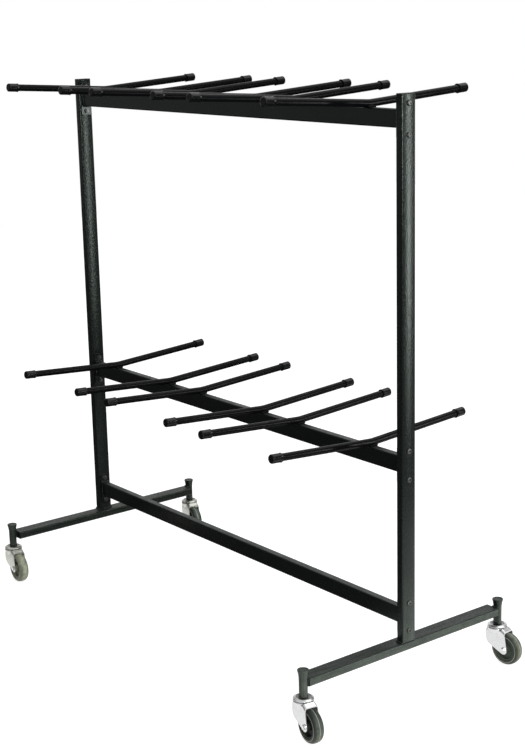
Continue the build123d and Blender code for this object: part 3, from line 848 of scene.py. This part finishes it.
# %% Post welds
post_bead, post_pitch = 3.3 * mm, 3.1 * mm
proud, flush_in, flush_down = 0.9 * mm, 3.2 * mm, 1.7 * mm
loop_points, lean_up = 300, 0.7
for end, side in ends.items():
    low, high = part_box(f"upright_{end}")
    loop, normal = box_loop((high.x - low.x) / 2, high.y, tube_corner, loop_points)
    flush = np.clip(side * normal[:, 0], 0.0, 1.0) ** 2
    ring = loop + normal * (proud - flush_in * flush)[:, None]
    x = centre_of(f"upright_{end}")[0] + ring[:, 0]
    line = np.column_stack([x, ring[:, 1], low.z + proud - flush_down * flush])
    lean = np.column_stack([normal, np.full(loop_points, lean_up)])
    weld = bead(line, lean, post_bead, post_pitch, seed=47 + side, closed=True)
    piece(f"post_weld_{end}", [weld], "frame", weld_enamel, wrap_rows=True)

# %% [markdown]
# ## Foot ends
# The open end of each foot is closed where it meets the round socket: weld metal fills the wedge on
# both sides of the socket and runs out on a flat closing plate. As a surface, the plate is a rounded
# rectangle shrunk towards its middle, and each point is pushed out as far as the gap to the socket.

# %% Foot end fillings
corners = ("front_right", "front_left", "rear_right", "rear_left")
socket_radius = 12.7 * mm
plate_inset, plate_proud, rings, loop_points = 0.3 * mm, 0.6 * mm, 22, 96
fill_half, fill_edge_width, fill_deepest = 13.5 * mm, 6.0 * mm, 6.0 * mm
fill_ripple, fill_pitch, fill_lean = 0.35 * mm, 3.0 * mm, 90.0
shrink = np.concatenate([[0.0, 0.96, 1.0, 1.0], np.linspace(0.98, 0.0, rings)])
depth = np.concatenate([np.array([-2.0, -2.0, -1.6, 0.2]) * mm, np.full(rings, plate_proud)])
for corner in corners:
    end, hand = corner.split("_")
    low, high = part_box(f"foot_{end}")
    out = -1.0 if hand == "right" else 1.0
    face = high.y * out
    axis = centre_of(f"socket_{corner}")
    half_u, half_v = (high.x - low.x) / 2 - plate_inset, (high.z - low.z) / 2 - plate_inset
    loop = box_loop(half_u, half_v, tube_corner, loop_points)[0]
    flat = centre_of(f"foot_{end}")[[0, 2]] + shrink[:, None, None] * loop[None, :, :]
    aside = np.abs(flat[..., 0] - axis[0])
    gap = abs(axis[1] - face) - np.sqrt(np.clip(socket_radius ** 2 - aside ** 2, 0.0, None))
    near = np.clip((fill_half - aside) / fill_edge_width, 0.0, 1.0)
    near = near * near * (3.0 - 2.0 * near)
    ripple = fill_ripple * np.abs(np.sin(np.pi * flat[..., 1] / fill_pitch + fill_lean * aside))
    fill = near * (np.clip(gap, 0.0, fill_deepest) + ripple) * (depth == plate_proud)[:, None]
    grid = np.stack([flat[..., 0], face + out * (depth[:, None] + fill), flat[..., 1]], -1)
    piece(f"foot_end_{corner}", [grid], "frame", weld_enamel)

# %% [markdown]
# ## Socket welds
# The bead that holds a socket runs up one side of the wedge, over the top of the foot against the
# socket, and down the other side. The path is one long U: two upright lines joined by an arc.

# %% Socket welds
socket_bead, socket_pitch = 2.9 * mm, 3.0 * mm
up_steps, arc_steps, half_arc = 26, 34, np.radians(44.0)
reach = socket_radius + 1.1 * mm
start_above, stop_below, arc_above = 2.0 * mm, 1.0 * mm, 0.6 * mm
lean_aside, lean_back = 0.6, 0.3
swing = np.concatenate([np.full(up_steps, -1.0), np.linspace(-1.0, 1.0, arc_steps), np.full(up_steps, 1.0)])
swing = swing * half_arc
for corner in corners:
    end, hand = corner.split("_")
    low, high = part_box(f"foot_{end}")
    out = -1.0 if hand == "right" else 1.0
    axis = centre_of(f"socket_{corner}")
    climb = np.linspace(low.z + start_above, high.z - stop_below, up_steps)
    z = np.concatenate([climb, np.full(arc_steps, high.z + arc_above), climb[::-1]])
    line = np.column_stack([axis[0] + reach * np.sin(swing), axis[1] - out * reach * np.cos(swing), z])
    back_in = np.full(len(swing), -lean_back * out)
    lean = np.column_stack([lean_aside * np.sin(swing), back_in, np.abs(np.cos(swing))])
    weld = bead(line, lean, socket_bead, socket_pitch, seed=71)
    piece(f"socket_weld_{corner}", [weld], "frame", weld_enamel)

# %% [markdown]
# ## Lathe shapes
# Sockets, raceway caps and tyres are round. A lathe shape is one profile swung round an axis, the
# simplest grid of all. A pressed profile is drawn with sharp corners, and every corner is then eased
# by its own small radius, as pressing and tumbling leave it.


# %% Lathe helpers
def turned(profile, hub, axle, count=96):
    """Surface of revolution: each profile point (distance along the axle, radius) is swung round it."""
    axle = unit(axle)
    first = unit(np.cross(axle, straight_up if abs(axle[2]) < 0.9 else (1.0, 0.0, 0.0)))
    second = np.cross(axle, first)
    angle = np.linspace(0.0, 2 * np.pi, count, endpoint=False)
    spoke = np.cos(angle)[:, None] * first + np.sin(angle)[:, None] * second
    return np.asarray(hub) + profile[:, 0, None, None] * axle + profile[:, 1, None, None] * spoke[None, :, :]


def eased(points, radius, steps=6):
    """An open outline with every inner corner replaced by a short curve: on each corner, a quadratic
    curve runs from a point a radius before it to a point a radius after it."""
    points = np.asarray(points, float)
    corner, radius = points[1:-1], np.asarray(radius, float)[:, None]
    start = corner + unit(points[:-2] - corner) * radius
    stop = corner + unit(points[2:] - corner) * radius
    t = np.linspace(0.0, 1.0, steps)[None, :, None]
    curve = (1 - t) ** 2 * start[:, None] + 2 * t * (1 - t) * corner[:, None] + t ** 2 * stop[:, None]
    return np.concatenate([points[:1], curve.reshape(-1, 2), points[-1:]])


print("lathe helpers ready")

# %% [markdown]
# ## Sockets
# A socket is a tube whose mouth was flared on a cone and closed with a dished plug. The flare is a
# power curve from the tube's radius to the mouth, and the lip above it is rolled.

# %% Sockets
plug_radius, flare_height, flare_power, flare_points = 12.6 * mm, 28.0 * mm, 1.7, 16
lip_height, lip_width, plug_edge, plug_dish = 2.2 * mm, 2.4 * mm, 1.6 * mm, 1.2 * mm
foot_round, lip_rounds = [0.7 * mm], [1.2 * mm, 0.9 * mm, 0.8 * mm]
for corner in corners:
    low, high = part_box(f"socket_{corner}")
    top, mouth = high.z, (high.x - low.x) / 2
    hub = centre_of(f"socket_{corner}") * (1, 1, 0)
    rise = np.linspace(top - flare_height, top - lip_height, flare_points)
    swell = (rise - rise[0]) / (rise[-1] - rise[0])
    flare = np.column_stack([rise, socket_radius + (mouth - socket_radius) * swell ** flare_power])
    foot = eased([(low.z, 0.0), (low.z, socket_radius), (rise[0], socket_radius)], foot_round)
    rim = eased([(rise[-1], mouth), (top, mouth), (top, mouth - lip_width), (top - plug_edge, plug_radius),
                 (top - plug_dish, 0.0)], lip_rounds)
    profile = np.concatenate([foot, flare[1:-1], rim])
    socket = piece(f"flared_socket_{corner}", [turned(profile, hub, straight_up)], "frame",
                   hammertone)
    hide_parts(f"socket_{corner}")

# %% [markdown]
# ## Raceway caps
# A raceway cap is a steel disc with a hole, pressed into a shallow dish with a raised shoulder and a
# skirt that covers the balls. Its closed outline runs along the underside, round the skirt and back
# over the top, and points on the dish are marked for grease.

# %% Raceway caps
cap_hole, sheet_under, dish_drop = 6.0 * mm, 1.8 * mm, 0.7 * mm
grease_inside, grease_above = 8.0 * mm, 1.2 * mm
bends = np.array([0.8, 0.6, 0.3, 0.5, 0.7, 1.6, 1.3, 1.2]) * mm
for corner in corners:
    low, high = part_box(f"raceway_cap_{corner}")
    hub = centre_of(f"raceway_cap_{corner}") * (1, 1, 0)
    rim, skirt, top = (high.x - low.x) / 2, low.z, high.z
    underside = [(top - sheet_under, cap_hole), (top - sheet_under, rim - 7.6 * mm),
                 (skirt + 1.2 * mm, rim - 2.0 * mm), (skirt, rim - 1.6 * mm)]
    upper_side = [(skirt, rim), (skirt + 1.7 * mm, rim), (top - 1.2 * mm, rim - 4.4 * mm),
                  (top, rim - 7.4 * mm), (top - 0.9 * mm, rim - 10.0 * mm), (top - dish_drop, cap_hole)]
    profile = eased(underside + upper_side, bends)
    grid = turned(profile, hub, straight_up)
    dish = (profile[:, 1] < rim - grease_inside) & (profile[:, 0] > top - grease_above)
    plate = finishes["zinc_steel" if corner.startswith("front") else "aged_zinc"]
    cap = piece(f"pressed_raceway_{corner}", [grid], "frame", plate, wrap_rows=True,
                marks={"grease": np.repeat(dish.astype(float), grid.shape[1])})
    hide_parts(f"raceway_cap_{corner}")

# %% [markdown]
# ## Tyre section
# A solid rubber tyre is moulded in two halves. The tread is crowned, a thin flash line runs round
# the middle where the mould halves met, and a small rib marks the top of each sidewall. The section
# is a superellipse over straight sidewalls, and flash and rib are narrow bell curves on it. Lengths
# are in millimetres here.

# %% Tyre section
tyre_half, tread_radius, shoulder_radius, wall_foot = 16.5, 50.62, 42.6, 38.4
crown_power, crown_root = 2.7, 0.62
flash_height, flash_width = 0.18, 0.4
rib_radius, rib_height, rib_width = 41.6, 0.45, 0.55
crown_points, flash_points, wall_points = 45, 17, 15
sweep = tyre_half * np.sin(np.linspace(-np.pi / 2, np.pi / 2, crown_points))
w = np.unique(np.round(np.concatenate([sweep, np.linspace(-1.2, 1.2, flash_points)]), 4))
arch = (1 - (np.abs(w) / tyre_half) ** crown_power) ** crown_root
crown = shoulder_radius + (tread_radius - shoulder_radius) * arch
crown = crown + flash_height * np.exp(-(w / flash_width) ** 2)
wall = np.linspace(shoulder_radius - 0.2, wall_foot, wall_points)
bulge = tyre_half + rib_height * np.exp(-((wall - rib_radius) / rib_width) ** 2)
seat = np.array([(14.9, 36.9), (13.5, 36.0)])
section = np.concatenate([np.column_stack([w, crown]), np.column_stack([bulge, wall]), seat,
                          seat[::-1] * (-1, 1), np.column_stack([-bulge, wall])[::-1]])
print("tyre section of", len(section), "points")

# %% [markdown]
# ## Tyres
# The section is turned about the axle of each wheel. Every tyre carries its own share of wear, and part of
# the difference between the wheels is painted light: the paler wheels are the ones that stand in more light.
# Each tyre is also painted darker towards its top, as painted shade under the fork. The marks for crown,
# ridges, wear and this light and shade go onto the mesh.

# %% Tyres
# widths of the painted highlight on the flash line and the ribs
flash_highlight_width, rib_highlight_width, spokes = 0.55, 0.7, 144
across = np.abs(section[:, 0]) / tyre_half
flash_mark = np.exp(-(section[:, 0] / flash_highlight_width) ** 2) * (section[:, 1] > tread_radius - 1)
rib_mark = np.exp(-((section[:, 1] - rib_radius) / rib_highlight_width) ** 2) * (across > 0.98)
# part of each wheel's share is painted light: the paler wheels are the lit ones
tyre_wear_and_light = {"front_right": 0.28, "front_left": 0.42, "rear_right": 1.0, "rear_left": 0.2}
# painted shade: each tyre is darker towards its top, under the fork
top_shade = {"front_right": 0.27, "front_left": 0.1, "rear_right": 0.0, "rear_left": 0.0}
for corner in corners:
    joint = next(j for j in frame["joints"] if j["name"] == f"roll_{corner}")
    hub = centre_of(f"tyre_{corner}")
    grid = turned(section * mm, hub, joint["axis"], spokes)
    height = (grid[..., 2] - hub[2]) / (tread_radius * mm)
    marks = {"across": np.repeat(across, spokes),
             "ridge": np.repeat(flash_mark + rib_mark, spokes),
             "wear_and_light": tyre_wear_and_light[corner] - top_shade[corner] * height}
    tyre = piece(f"moulded_tyre_{corner}", [grid], f"wheel_{corner}", tyre_rubber, wrap_rows=True,
                 marks=marks)
    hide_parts(f"tyre_{corner}")
